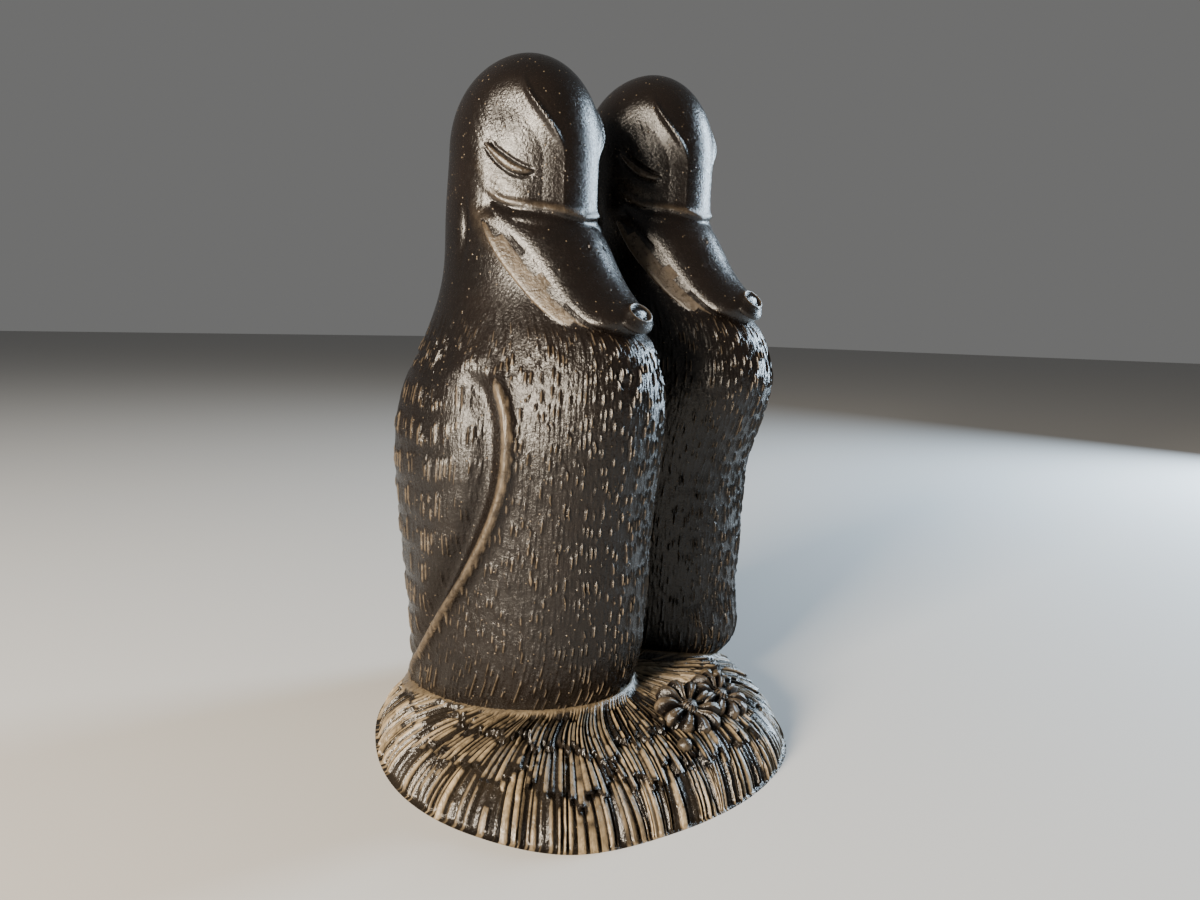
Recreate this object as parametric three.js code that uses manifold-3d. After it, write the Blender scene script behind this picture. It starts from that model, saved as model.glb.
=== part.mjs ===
// Two ducklings asleep on their feet, side by side on a low mound of grass with two daisies.
// The whole carving is one piece of soapstone. Millimetres, +Z up, the ducklings face -Y.
import * as THREE from 'three';
import { mergeVertices } from 'three/addons/utils/BufferGeometryUtils.js';
import Module from 'manifold-3d';

const wasm = await Module();
wasm.setup();

// ---- Driving dimensions ----
const DUCKLING_HEIGHT = 129; // crown above the underside of the mound
const SPACING = 39; // between the two upright axes
const DUCKLINGS = [
  { x: -SPACING / 2, outerSide: -1, tall: 1, belly: 1, headBack: 0, headUp: 0 },
  { x: SPACING / 2, outerSide: 1, tall: 1.02, belly: 0.84, headBack: 1.4, headUp: 2.3 },
];
const FOOT_HEIGHT = 3; // where a duckling's body ends, inside the mound
const CROWN_START = 111; // the skull closes in a rounded cap above this
const BODY_COLUMNS = 38;
const CROWN_RINGS = 6;
const BODY_RINGS = 25; // below the crown
const MOUND_HEIGHT = 13.5;
const MOUND_CENTRE = { x: -8, y: -10 };
const BLADES = 54; // blades of grass round the mound
const BLADE_RELIEF = 0.38;
const TIER_STEP = 1.3;
const SHORTEST_EDGE = 0.03; // joins and cuts leave shorter ones, which are closed up
const STONE = { color: 0x1b1512, roughness: 0.34, metalness: 0 };

// ---- Small tools ----
const radians = THREE.MathUtils.degToRad;
const degrees = THREE.MathUtils.radToDeg;
const smooth = THREE.MathUtils.smoothstep;

function bump(offset, width) {
  return Math.exp(-((offset / width) ** 2));
}

// A smooth curve through [at, value] knots.
function profile(knots) {
  const last = knots.length - 1;
  const slopes = knots.map((knot, i) => {
    const before = knots[Math.max(i - 1, 0)];
    const after = knots[Math.min(i + 1, last)];
    return (after[1] - before[1]) / (after[0] - before[0]);
  });
  return (at) => {
    if (at <= knots[0][0]) return knots[0][1];
    if (at >= knots[last][0]) return knots[last][1];
    const i = knots.findIndex((knot) => knot[0] > at) - 1;
    const span = knots[i + 1][0] - knots[i][0];
    const t = (at - knots[i][0]) / span;
    const rise = (knots[i + 1][1] - knots[i][1]) * t * t * (3 - 2 * t);
    const bend = slopes[i] * t * (1 - t) ** 2 - slopes[i + 1] * t * t * (1 - t);
    return knots[i][1] + rise + bend * span;
  };
}

// Turns a closed geometry into a solid, its faces out.
function toSolid(geometry) {
  geometry.deleteAttribute('normal');
  geometry.deleteAttribute('uv');
  const merged = mergeVertices(geometry, 1e-5);
  const vertices = merged.attributes.position.array;
  const faces = merged.index.array;
  const corners = [new THREE.Vector3(), new THREE.Vector3(), new THREE.Vector3()];
  const kept = [];
  let volume = 0;
  for (let i = 0; i < faces.length; i += 3) {
    const triangle = [faces[i], faces[i + 1], faces[i + 2]];
    if (new Set(triangle).size === 3) {
      kept.push(...triangle);
      corners.forEach((corner, k) => corner.fromArray(vertices, triangle[k] * 3));
      volume += corners[0].dot(corners[1].clone().cross(corners[2]));
    }
  }
  if (volume < 0) kept.reverse();
  const mesh = new wasm.Mesh({
    numProp: 3,
    vertProperties: new Float32Array(vertices),
    triVerts: new Uint32Array(kept),
  });
  return new wasm.Manifold(mesh);
}

// The two ends of every very short edge become one corner, and faces that this flattens are dropped.
function closeShortEdges(vertices, faces) {
  const corner = (i) => new THREE.Vector3().fromArray(vertices, i * 3);
  const standIn = new Map();
  const find = (i) => (standIn.has(i) ? find(standIn.get(i)) : i);
  for (let i = 0; i < faces.length; i += 3) {
    for (let k = 0; k < 3; k += 1) {
      const a = find(faces[i + k]);
      const b = find(faces[i + ((k + 1) % 3)]);
      if (a !== b && corner(a).distanceTo(corner(b)) < SHORTEST_EDGE) standIn.set(b, a);
    }
  }
  const kept = [];
  for (let i = 0; i < faces.length; i += 3) {
    const triangle = [find(faces[i]), find(faces[i + 1]), find(faces[i + 2])];
    if (new Set(triangle).size === 3) kept.push(...triangle);
  }
  return kept;
}

function toGeometry(solid) {
  const { vertProperties, triVerts } = solid.getMesh();
  const loose = new THREE.BufferGeometry();
  loose.setAttribute('position', new THREE.BufferAttribute(vertProperties, 3));
  loose.setIndex(closeShortEdges(vertProperties, triVerts));
  const geometry = mergeVertices(loose.toNonIndexed(), 1e-6);
  geometry.computeVertexNormals();
  return geometry;
}

// A ball reshaped point by point: around runs 0 to 1 anticlockwise, down runs 0 to 1 from the top.
function shapedBall(columns, rings, place) {
  const ball = new THREE.SphereGeometry(1, columns, rings);
  const { position, uv } = ball.attributes;
  for (let i = 0; i < position.count; i += 1) {
    const down = 1 - uv.getY(i);
    const around = down === 0 || down === 1 ? 0 : uv.getX(i) % 1;
    const point = place(around, down);
    position.setXYZ(i, point.x, point.y, point.z);
  }
  return toSolid(ball);
}

// ---- A duckling's skin: reach forward, reach back and half width against height ----
const frontReach = profile([
  [3, 14], [8, 19.5], [12, 23.4], [18, 26], [30, 27], [46, 27.6], [60, 29.6], [68, 30], [73, 29.2],
  [77, 27.2], [81, 23], [86, 18.8], [92, 16], [99, 14.2], [111, 14.2],
]);
const backReach = profile([
  [3, 29], [8, 28], [14, 25], [20, 23.8], [30, 25], [44, 27.3], [57, 28.3], [65, 27.2], [72, 24.6],
  [80, 20.4], [88, 18.2], [100, 17.8], [111, 16.6],
]);
const halfWidth = profile([
  [3, 15], [8, 17.6], [14, 19.4], [30, 20.6], [50, 21.7], [60, 21.7], [68, 20.4], [76, 17.8],
  [84, 15], [92, 13.4], [104, 13.1], [111, 13],
]);

// The closing of the skull above the temples, 1 at its start and 0 at the crown.
function crown(z) {
  const rise = Math.max(z - CROWN_START, 0) / (DUCKLING_HEIGHT - CROWN_START);
  return Math.sqrt(Math.max(1 - rise ** 2.15, 0));
}

// The brow edge runs up the face and sweeps back over the eye.
function browAngle(z) {
  return 20 + 34 * smooth(z, 108, 124);
}

// The flat forehead between two brow edges, and the hollow round each eye behind them.
function faceRelief(side, z) {
  const brow = browAngle(z);
  const band = smooth(z, 98, 101) * (1 - smooth(z, 115, 123));
  const edge = 0.6 * bump(side - brow, 6);
  const hollow = smooth(side, brow, brow + 9) * (1 - smooth(side, 76, 98));
  return band * (edge - 0.8 * hollow);
}

function shoulderRelief(side, z) {
  return 1.1 * bump(side - 80, 13) * bump(z - 72.5, 4.5);
}

function tailRelief(side, z) {
  return 2.6 * bump(180 - side, 15) * bump(z - 9, 6);
}

// The place in the pair of a point of one duckling.
function settle(form, point) {
  const head = smooth(point.z, 68, 84);
  point.x += form.x;
  point.y += form.headBack * head;
  point.z = point.z * form.tall + form.headUp * head;
  return point;
}

// A point on the skin: angle in degrees from the front towards the duckling's left.
function skin(form, angle, z, out = 0) {
  const c = Math.cos(radians(angle));
  const s = Math.sin(radians(angle));
  const side = Math.abs(angle);
  const slim = 1 - (1 - form.belly) * (1 - smooth(z, 48, 72)) * smooth(z, 8, 24);
  const ahead = c > 0 ? frontReach(z) * slim : backReach(z);
  const cap = crown(z);
  const carved = faceRelief(side, z) * cap + shoulderRelief(side, z) + tailRelief(side, z);
  const forward = (ahead * cap + carved + out) * c;
  const left = (halfWidth(z) * cap + carved + out) * s;
  return settle(form, new THREE.Vector3(left, -forward, z));
}

// ---- Wing: a bead along its front edge, a deep groove behind the bead, then the wing itself ----
// Angle of the bead against height.
const wingAngle = profile([
  [3, 150], [8, 136], [20, 105], [32, 83], [42, 69.5], [50, 62.5], [57, 60.5], [64, 62], [70, 67],
  [76, 70], [92, 66], [104, 68], [124, 84],
]);
const FRONT_COLUMNS = 7;
const BROW_COLUMN = 3;
// Columns that follow the bead: degrees behind it, and how far each stands out of the skin.
const WING_COLUMNS = [[-4, 0], [0, 1.2], [3.5, -0.4], [7, -1.9], [11.5, 0.8]];
const WING_REAR_COLUMN = 6; // columns back from the groove to the wing's rear edge
const WING_PANEL = 0.6;

// Columns in front of the wing spread evenly, but on the face one of them follows the brow.
function frontAngle(column, z, last) {
  const even = (last * column) / FRONT_COLUMNS;
  const brow = browAngle(z);
  const faced = column <= BROW_COLUMN
    ? (brow * column) / BROW_COLUMN
    : brow + ((last - brow) * (column - BROW_COLUMN)) / (FRONT_COLUMNS - BROW_COLUMN);
  return even + (faced - even) * smooth(z, 88, 98);
}

// The angle and the wing relief of a body column, counted from 0 at the front to the back.
function bodyColumn(column, z) {
  const bead = wingAngle(z);
  const first = WING_COLUMNS[0][0];
  const [last] = WING_COLUMNS[WING_COLUMNS.length - 1];
  const behind = column - FRONT_COLUMNS - (WING_COLUMNS.length - 1);
  const remaining = BODY_COLUMNS / 2 - FRONT_COLUMNS - (WING_COLUMNS.length - 1);
  if (column < FRONT_COLUMNS) return { angle: frontAngle(column, z, bead + first), relief: 0 };
  if (behind <= 0) {
    const [offset, relief] = WING_COLUMNS[column - FRONT_COLUMNS];
    return { angle: bead + offset, relief };
  }
  const angle = bead + last + ((180 - bead - last) * behind) / remaining;
  if (behind > WING_REAR_COLUMN) return { angle, relief: 0 };
  return { angle, relief: behind === WING_REAR_COLUMN ? -0.9 : WING_PANEL };
}

function body(form) {
  const rings = CROWN_RINGS + BODY_RINGS + 1;
  return shapedBall(BODY_COLUMNS, rings, (around, down) => {
    const ring = Math.round(down * rings);
    if (ring === rings) return settle(form, new THREE.Vector3(0, 0, FOOT_HEIGHT));
    const turn = (Math.min(ring / CROWN_RINGS, 1) * Math.PI) / 2;
    const below = Math.max(ring - CROWN_RINGS, 0) / BODY_RINGS;
    const z = CROWN_START + (DUCKLING_HEIGHT - CROWN_START) * Math.cos(turn)
      - (CROWN_START - FOOT_HEIGHT) * below;
    const column = Math.round(around * BODY_COLUMNS) - BODY_COLUMNS / 2;
    const side = Math.sign(column);
    const { angle, relief } = bodyColumn(Math.abs(column), z);
    const winged = smooth(z, 6, 16) * (1 - smooth(z, 68, 74));
    const outer = side === form.outerSide || Math.abs(angle) > 140 ? 1 : 0;
    return skin(form, side * angle, z, relief * winged * outer);
  });
}

// A tapered bead lying along a line of [angle, height] knots on the skin.
// Joined, it stands proud; cut away, it leaves a groove.
function beadOnSkin(form, side, { line, half, rise, sink, columns, rings }) {
  const knots = line.map(([angle, z]) => new THREE.Vector3(angle, z, 0));
  const route = new THREE.CatmullRomCurve3(knots);
  return shapedBall(columns, rings, (around, down) => {
    const at = route.getPoint(down);
    const heading = route.getTangent(down);
    const girth = halfWidth(at.y);
    const along = new THREE.Vector2(radians(heading.x) * girth, heading.y).normalize();
    const taper = Math.sqrt(Math.sin(Math.PI * down));
    const across = half * taper * Math.cos(2 * Math.PI * around);
    const out = (rise - sink) / 2 + ((rise + sink) / 2) * taper * Math.sin(2 * Math.PI * around);
    const angle = at.x - degrees((along.y * across) / girth);
    return skin(form, side * angle, at.y + along.x * across, out);
  });
}

// ---- Closed eye: a swollen lid between two creases ----
const LID = {
  line: [[84, 111.3], [74, 109.1], [64, 107.5], [53, 106.6], [43, 106.5]],
  half: 1.25, rise: 1, sink: 1.2, columns: 6, rings: 8,
};
const UPPER_CREASE = {
  line: [[84, 112], [74, 110.2], [64, 108.8], [53, 107.7], [42, 106.8]],
  half: 0.42, rise: 1, sink: 0.8, columns: 4, rings: 6,
};
const LOWER_CREASE = {
  line: [[84, 110.5], [75, 107.8], [64, 106.1], [54, 105.5], [44, 106]],
  half: 0.42, rise: 1, sink: 0.8, columns: 4, rings: 6,
};

// ---- Bill: centre lines in [forward, height], half thickness and half width along them ----
const UPPER_BILL = {
  path: [[3, 102.2], [11.2, 95.8], [18, 87.4], [23.8, 82.2], [27.4, 80.6]],
  thick: profile([[0, 1.2], [0.27, 3.9], [0.55, 2.8], [0.8, 2.3], [1, 2.2]]),
  wide: profile([[0, 14.4], [0.13, 13.4], [0.27, 11.2], [0.5, 9.3], [0.72, 8.6], [1, 8.4]]),
};
const LOWER_BILL = {
  path: [[2.4, 99.6], [8.6, 91], [15.2, 84.2], [21.6, 79.6], [26, 77.6]],
  thick: profile([[0, 0.8], [0.3, 2.3], [0.7, 1.5], [1, 1.2]]),
  wide: profile([[0, 13.8], [0.15, 13.1], [0.3, 12.1], [0.6, 10.3], [0.8, 9.2], [1, 8]]),
};
const NOSTRIL = { forward: 17.2, height: 93.4, side: 2.9, half: [0.6, 0.9, 1.8], lean: -38 };
const NAIL = { forward: 27.3, height: 81.2, radius: 3.4, ring: 0.5, flatness: 0.5, lean: 24 };

function billHalf(form, { path, thick, wide }) {
  const line = new THREE.CatmullRomCurve3(path.map(([forward, z]) => new THREE.Vector3(0, -forward, z)));
  const boxiness = 0.7;
  return shapedBall(10, 9, (around, down) => {
    const at = line.getPoint(down);
    const up = new THREE.Vector3(1, 0, 0).cross(line.getTangent(down)).negate();
    const bluntness = down < 0.5 ? 7 : 4.5;
    const taper = Math.sqrt(Math.max(1 - Math.abs(2 * down - 1) ** bluntness, 0));
    const c = Math.cos(2 * Math.PI * around);
    const s = Math.sin(2 * Math.PI * around);
    const across = wide(down) * taper * Math.sign(c) * Math.abs(c) ** boxiness;
    const over = thick(down) * Math.min(1.6 * taper, 1) * Math.sign(s) * Math.abs(s) ** boxiness;
    return settle(form, at.addScaledVector(up, over).setX(across));
  });
}

// A geometry turned and put on a duckling.
function onDuckling(form, geometry, lean, x, forward, z) {
  geometry.rotateX(radians(lean));
  geometry.translate(x, -forward, z);
  const { position } = geometry.attributes;
  for (let i = 0; i < position.count; i += 1) {
    const point = settle(form, new THREE.Vector3().fromBufferAttribute(position, i));
    position.setXYZ(i, point.x, point.y, point.z);
  }
  return toSolid(geometry);
}

function nail(form) {
  const ring = new THREE.TorusGeometry(NAIL.radius, NAIL.ring, 3, 10);
  ring.scale(1, NAIL.flatness, 1);
  return onDuckling(form, ring, 90 - NAIL.lean, 0, NAIL.forward, NAIL.height);
}

function nostril(form, side) {
  const hollow = new THREE.SphereGeometry(1, 5, 4).scale(...NOSTRIL.half);
  return onDuckling(form, hollow, NOSTRIL.lean, side * NOSTRIL.side, NOSTRIL.forward, NOSTRIL.height);
}

function duckling(form) {
  let bird = body(form)
    .add(billHalf(form, LOWER_BILL))
    .add(billHalf(form, UPPER_BILL))
    .add(nail(form));
  [-1, 1].forEach((side) => {
    bird = bird
      .add(beadOnSkin(form, side, LID))
      .subtract(beadOnSkin(form, side, UPPER_CREASE))
      .subtract(beadOnSkin(form, side, LOWER_CREASE))
      .subtract(nostril(form, side));
  });
  return bird;
}

// ---- Mound of grass ----
const MOUND_OUTLINE = new THREE.CatmullRomCurve3(
  [
    [-5, 36], [-30, 30], [-46, 13], [-54, -5], [-54.5, -22], [-47.5, -39], [-31, -47.5],
    [-11, -50.5], [7, -46.5], [22, -34], [32.5, -18], [38.5, 0], [35, 20], [19, 32],
  ].map(([x, y]) => new THREE.Vector3(x, y, 0)),
  true,
);
const MOUND_SOLE = 0.985; // the underside's share of the full outline
// Each tier of blades ends at a share of the way out, where it drops to the next.
const TIER_ENDS = [0.72, 0.88];

// The bare mound: nearly level on top, with a rim that rounds over steeply.
function moundHeight(share) {
  return MOUND_HEIGHT * Math.max(1 - share ** 3.4, 0) ** 0.62;
}

function moundPoint(around, share, z) {
  const edge = MOUND_OUTLINE.getPoint(around % 1);
  return new THREE.Vector3(
    MOUND_CENTRE.x + (edge.x - MOUND_CENTRE.x) * share,
    MOUND_CENTRE.y + (edge.y - MOUND_CENTRE.y) * share,
    z,
  );
}

function mound() {
  const rows = [{ share: 0.5, lift: 0, blades: 0.7, ragged: 0 }];
  TIER_ENDS.forEach((share) => {
    rows.push({ share, lift: TIER_STEP / 2, blades: 1, ragged: 1 });
    rows.push({ share: share + 0.008, lift: -TIER_STEP / 2, blades: 0.6, ragged: 1 });
  });
  rows.push({ share: 0.99, lift: 0, blades: 1, ragged: 0 });
  const columns = 2 * BLADES;
  const rings = rows.length + 2;
  return shapedBall(columns, rings, (around, down) => {
    const ring = Math.round(down * rings) - 1;
    if (ring < 0) return moundPoint(0, 0, moundHeight(0));
    if (ring > rows.length) return moundPoint(0, 0, 0);
    if (ring === rows.length) return moundPoint(around, MOUND_SOLE, 0);
    const { share, lift, blades, ragged } = rows[ring];
    const column = Math.round(around * columns) % columns;
    const ridge = column % 2 ? 1 : -1;
    const wander = ragged * (0.014 * Math.sin(column * 2.4) + 0.01 * Math.sin(column * 0.7));
    const relief = lift + blades * ridge * BLADE_RELIEF;
    const reach = share + wander;
    return moundPoint(around, reach, Math.max(moundHeight(reach) + relief, 0.6));
  });
}

// ---- Daisies, lying on the slope of the mound ----
const PETALS = 10;
const DAISIES = [
  { around: 0.49, share: 0.63, radius: 6.3 },
  { around: 0.545, share: 0.67, radius: 5.8 },
];
const DAISY_LEAN = 26; // how far the flowers tip outward with the slope
// From the flower's heart to its underside: share of the radius, height, depth of the petal gaps.
const DAISY_RINGS = [[0.24, 0.6, 0.2], [0.6, 1.6, 1.1], [0.95, 1, 1.1], [1, -1.6, 0]];

function daisy({ around, share, radius }) {
  const centre = moundPoint(around, share, moundHeight(share));
  const outward = Math.atan2(centre.y - MOUND_CENTRE.y, centre.x - MOUND_CENTRE.x);
  const tip = new THREE.Matrix4().makeRotationAxis(
    new THREE.Vector3(-Math.sin(outward), Math.cos(outward), 0),
    radians(DAISY_LEAN),
  );
  const rings = DAISY_RINGS.length + 1;
  return shapedBall(PETALS * 4, rings, (turn, down) => {
    const ring = Math.round(down * rings) - 1;
    const point = new THREE.Vector3(0, 0, ring < 0 ? 0.9 : -1.6);
    if (ring >= 0 && ring < DAISY_RINGS.length) {
      const [out, height, gap] = DAISY_RINGS[ring];
      const petal = Math.abs(Math.cos(Math.PI * PETALS * turn));
      const notch = ring > 1 ? 0.8 + 0.2 * Math.sqrt(petal) : 1;
      const angle = 2 * Math.PI * turn;
      point.set(Math.cos(angle), Math.sin(angle), 0).multiplyScalar(radius * out * notch);
      point.z = height - gap * (1 - petal);
    }
    return point.applyMatrix4(tip).add(centre);
  });
}

// ---- The carving, its footprint centred on the origin ----
const solids = [...DUCKLINGS.map(duckling), ...DAISIES.map(daisy)];
const carving = toGeometry(solids.reduce((whole, solid) => whole.add(solid), mound()));
carving.computeBoundingBox();
const middle = carving.boundingBox.getCenter(new THREE.Vector3());
carving.translate(-middle.x, -middle.y, 0);

const pair = new THREE.Mesh(carving, new THREE.MeshStandardMaterial(STONE));
pair.name = 'duckling_pair_carving';

const group = new THREE.Group();
group.add(pair);
export default group;
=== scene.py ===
"""Two ducklings asleep on their feet on a low mound of grass, carved in dark waxed soapstone.

Shapes are worked out in millimetres, in the pair's own frame: +Z up, the ducklings face -Y,
and the middle of the pair is at the origin. place() moves them to the file's frame, in metres.
"""

import bmesh
import bpy
import numpy as np
from mathutils import Matrix, Vector


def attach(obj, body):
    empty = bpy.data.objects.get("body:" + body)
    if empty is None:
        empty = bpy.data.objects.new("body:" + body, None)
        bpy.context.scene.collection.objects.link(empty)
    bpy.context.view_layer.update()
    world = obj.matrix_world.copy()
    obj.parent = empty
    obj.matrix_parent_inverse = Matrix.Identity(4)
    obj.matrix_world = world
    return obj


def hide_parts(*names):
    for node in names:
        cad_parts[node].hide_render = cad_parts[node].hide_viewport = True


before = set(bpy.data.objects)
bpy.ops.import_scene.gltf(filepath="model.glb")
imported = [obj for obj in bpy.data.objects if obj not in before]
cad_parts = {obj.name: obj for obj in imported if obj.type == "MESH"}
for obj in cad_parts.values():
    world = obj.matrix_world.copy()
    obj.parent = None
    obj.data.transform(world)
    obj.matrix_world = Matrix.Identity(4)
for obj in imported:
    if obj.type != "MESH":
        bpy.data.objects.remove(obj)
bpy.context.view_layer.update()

NODE = "duckling_pair_carving"

# ---- Sizes, as in the solid: millimetres and degrees ----
MM = 0.001
PAIR_TO_FILE = np.array([6.391, 7.271, 0.0])
HEIGHT = 129.0
CROWN_START = 111.0
FOOT_HEIGHT = 3.0
# Tall scales the height and belly the front. Back and up move the head. Outer is the winged side.
NEAR = {"name": "near", "x": -19.5, "outer": -1, "tall": 1.0, "belly": 1.0, "back": 0.0, "up": 0.0}
FAR = {"name": "far", "x": 19.5, "outer": 1, "tall": 1.02, "belly": 0.84, "back": 1.4, "up": 2.3}
MOUND_HEIGHT = 13.5
MOUND_CENTRE = np.array([-8.0, -10.0])

# ---- The finer sheets that carry the carving: columns round them and rings down them ----
BODY_COLUMNS = 432
CAP_RINGS = 38
SIDE_RINGS = 180
BILL_SHEET = (72, 60)
NAIL_SHEET = (40, 24)
BALL_SHEET = (20, 14)
MOUND_COLUMNS = 828
MOUND_ROWS = 110
# Edges that turn more than this many degrees stay sharp.
SHARP_FROM = 70.0
# In metres: points of a seam that are closer than this become one.
SEAM_WELD = 6e-6


# ---- Small tools ----
def smooth(value, low, high):
    t = np.clip((value - low) / (high - low), 0.0, 1.0)
    return t * t * (3.0 - 2.0 * t)


def bump(offset, width):
    return np.exp(-((offset / width) ** 2))


def scatter(number, seed):
    """A steady random number from 0 to 1 for each whole number."""
    wave = np.sin(number * 12.9898 + seed * 78.233) * 43758.5453
    return wave - np.floor(wave)


def drift(x, y, seed):
    """A slow wander between -1 and 1, for a hand's unevenness."""
    return (
        np.sin(1.0 * x + 1.7 * y + seed)
        + np.sin(2.3 * x - 1.1 * y + 2.0 * seed)
        + np.sin(-1.6 * x + 3.1 * y + 3.0 * seed)
    ) / 3.0


def profile(knots):
    """A smooth curve through (at, value) knots."""
    at, value = np.array(knots, float).T
    before = np.maximum(np.arange(len(at)) - 1, 0)
    after = np.minimum(np.arange(len(at)) + 1, len(at) - 1)
    slope = (value[after] - value[before]) / (at[after] - at[before])

    def read(where):
        where = np.clip(np.asarray(where, float), at[0], at[-1])
        i = np.clip(np.searchsorted(at, where, side="right") - 1, 0, len(at) - 2)
        span = at[i + 1] - at[i]
        t = (where - at[i]) / span
        rise = (value[i + 1] - value[i]) * t * t * (3.0 - 2.0 * t)
        bend = slope[i] * t * (1.0 - t) ** 2 - slope[i + 1] * t * t * (1.0 - t)
        return value[i] + rise + bend * span

    return read


def curve(points, closed=False, steps=400):
    """Points along a smooth line through the given ones, spread evenly by their number."""
    points = np.array(points, float)
    count = len(points)
    if closed:
        ring = points[np.arange(-1, count + 2) % count]
    else:
        ring = np.vstack([2 * points[0] - points[1], points, 2 * points[-1] - points[-2]])
    spans = len(ring) - 3
    at = np.linspace(0.0, spans, steps)
    i = np.minimum(at.astype(int), spans - 1)
    t = (at - i)[:, None]
    p0, p1, p2, p3 = ring[i], ring[i + 1], ring[i + 2], ring[i + 3]
    d0, d1, d2 = (np.linalg.norm(b - a, axis=1)[:, None] ** 0.5 for a, b in ((p0, p1), (p1, p2), (p2, p3)))
    leave = d1 * ((p1 - p0) / d0 - (p2 - p0) / (d0 + d1) + (p2 - p1) / d1)
    arrive = d1 * ((p2 - p1) / d1 - (p3 - p1) / (d1 + d2) + (p3 - p2) / d2)
    return (
        p1 * (1 - t) ** 2 * (1 + 2 * t)
        + p2 * t**2 * (3 - 2 * t)
        + leave * t * (1 - t) ** 2
        - arrive * t**2 * (1 - t)
    )


def along_line(line, x, y):
    """How far along a line each point lies, 0 to 1, and how far to its left, in millimetres."""
    route = curve(line, steps=160)
    heading = np.gradient(route, axis=0)
    heading /= np.linalg.norm(heading, axis=1)[:, None]
    travel = np.zeros(len(x))
    left = np.full(len(x), 1e6)
    best = np.full(len(x), 1e12)
    for i, ((px, py), (hx, hy)) in enumerate(zip(route, heading)):
        apart = (x - px) ** 2 + (y - py) ** 2
        nearer = apart < best
        best = np.where(nearer, apart, best)
        travel = np.where(nearer, i / (len(route) - 1), travel)
        left = np.where(nearer, np.sign(hx * (y - py) - hy * (x - px)) * np.sqrt(apart), left)
    return travel, left


def place(points):
    return (points + PAIR_TO_FILE) * MM


def shaped_ball(columns, rings, shape):
    """A sheet wrapped into a closed ball by shape(column, ring), counted round and from the top.

    shape gives the points, and how much each stands on a ridge, from 0 in a cut to 1.
    """
    bm = bmesh.new()
    bmesh.ops.create_grid(bm, x_segments=columns, y_segments=rings, size=1.0)
    mesh = bpy.data.meshes.new("ball")
    bm.to_mesh(mesh)
    flat = np.empty(len(mesh.vertices) * 3)
    mesh.vertices.foreach_get("co", flat)
    column = np.round((flat[0::3] + 1.0) / 2.0 * columns) % columns
    ring = np.round((1.0 - flat[1::3]) / 2.0 * rings)
    column[(ring == 0) | (ring == rings)] = 0
    points, ridge = shape(column, ring)
    mesh.vertices.foreach_set("co", place(points).ravel())
    # High ridge values are painted paler, partly as wear and dust and partly as painted highlight.
    wear_and_light_layer = mesh.attributes.new("ridge", "FLOAT", "POINT")
    wear_and_light_layer.data.foreach_set("value", ridge + 0.0 * column)
    bm.clear()
    bm.from_mesh(mesh)
    bmesh.ops.remove_doubles(bm, verts=bm.verts, dist=1e-8)
    bmesh.ops.recalc_face_normals(bm, faces=bm.faces)
    bm.to_mesh(mesh)
    bm.free()
    return mesh


def tidy_seams(mesh, weld):
    """Merges the slivers a join leaves along its seams, and cuts its many-sided faces to triangles.

    Left whole, two such faces that meet at a seam can be cut along the same line on export,
    which leaves a flap of two faces there.
    """
    bm = bmesh.new()
    bm.from_mesh(mesh)
    if weld:
        bmesh.ops.remove_doubles(bm, verts=bm.verts, dist=weld)
        bmesh.ops.dissolve_degenerate(bm, dist=weld, edges=bm.edges)
    bmesh.ops.triangulate(bm, faces=bm.faces)
    bm.to_mesh(mesh)
    bm.free()


def joined(name, base, others, weld=0.0):
    """One closed piece from a base and the (mesh, operation) pairs worked onto it."""
    piece = bpy.data.objects.new(name, base)
    bpy.context.scene.collection.objects.link(piece)
    tools = []
    for mesh, operation in others:
        tool = bpy.data.objects.new(f"{name}_tool_{len(tools)}", mesh)
        bpy.context.scene.collection.objects.link(tool)
        tools.append(tool)
        work = piece.modifiers.new("work", "BOOLEAN")
        work.object = tool
        work.operation = operation
        work.solver = "MANIFOLD"
    bpy.context.view_layer.update()
    graph = bpy.context.evaluated_depsgraph_get()
    mesh = bpy.data.meshes.new_from_object(piece.evaluated_get(graph))
    piece.modifiers.clear()
    piece.data = mesh
    mesh.name = name
    mesh.materials.clear()
    tidy_seams(mesh, weld)
    for tool in tools:
        bpy.data.objects.remove(tool)
    mesh.shade_smooth()
    mesh.set_sharp_from_angle(angle=np.radians(SHARP_FROM))
    return piece


# ---- A duckling's skin ----
front_reach = profile([
    (3, 14), (8, 19.5), (12, 23.4), (18, 26), (30, 27), (46, 27.6), (60, 29.6), (68, 30),
    (73, 29.2), (77, 27.2), (81, 23), (86, 18.8), (92, 16), (99, 14.2), (111, 14.2),
])
back_reach = profile([
    (3, 29), (8, 28), (14, 25), (20, 23.8), (30, 25), (44, 27.3), (57, 28.3), (65, 27.2),
    (72, 24.6), (80, 20.4), (88, 18.2), (100, 17.8), (111, 16.6),
])
half_width = profile([
    (3, 15), (8, 17.6), (14, 19.4), (30, 20.6), (50, 21.7), (60, 21.7), (68, 20.4),
    (76, 17.8), (84, 15), (92, 13.4), (104, 13.1), (111, 13),
])
wing_angle = profile([
    (3, 150), (8, 136), (20, 105), (32, 83), (42, 69.5), (50, 62.5), (57, 60.5), (64, 62),
    (70, 67), (76, 70), (92, 66), (104, 68), (124, 84),
])


def crown(z):
    rise = np.maximum(z - CROWN_START, 0.0) / (HEIGHT - CROWN_START)
    return np.sqrt(np.maximum(1.0 - rise**2.15, 0.0))


def brow_angle(z):
    """The brow edge runs up the face and sweeps back over the eye."""
    return 20.0 + 34.0 * smooth(z, 108.0, 124.0)


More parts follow.
